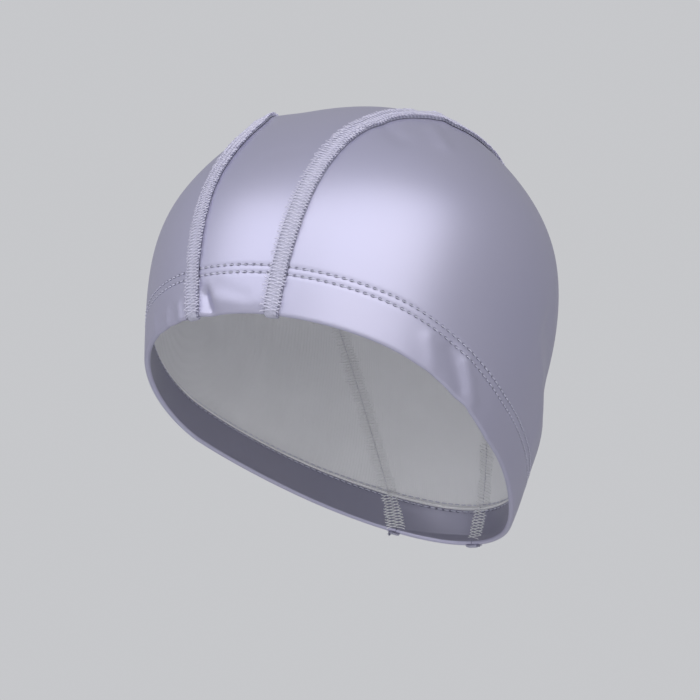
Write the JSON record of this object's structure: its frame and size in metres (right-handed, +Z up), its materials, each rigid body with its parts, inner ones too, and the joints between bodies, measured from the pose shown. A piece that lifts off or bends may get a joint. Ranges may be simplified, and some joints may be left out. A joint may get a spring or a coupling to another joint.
{
  "type": "swim cap",
  "caption": "Dome-shaped swim cap of coated stretch cloth in its worn form, a centre strip between two side panels with raised flat seams and a turned-in hem",
  "frame": {"origin": "underside of the crown's cloth, in the middle of the cap, where the top of a head carries it", "axes": "+Z up, the brow faces -Y and the nape +Y, the wearer's left is +X"},
  "size_m": [0.166, 0.1903, 0.1645],
  "materials": {
    "coated_cloth": "satin",
    "seam_thread": "matte"
  },
  "bodies": {
    "root": {"centre_panel": "coated_cloth", "side_panel_left": "coated_cloth", "side_panel_right": "coated_cloth", "seam_left": "seam_thread", "seam_right": "seam_thread"}
  },
  "joints": []
}
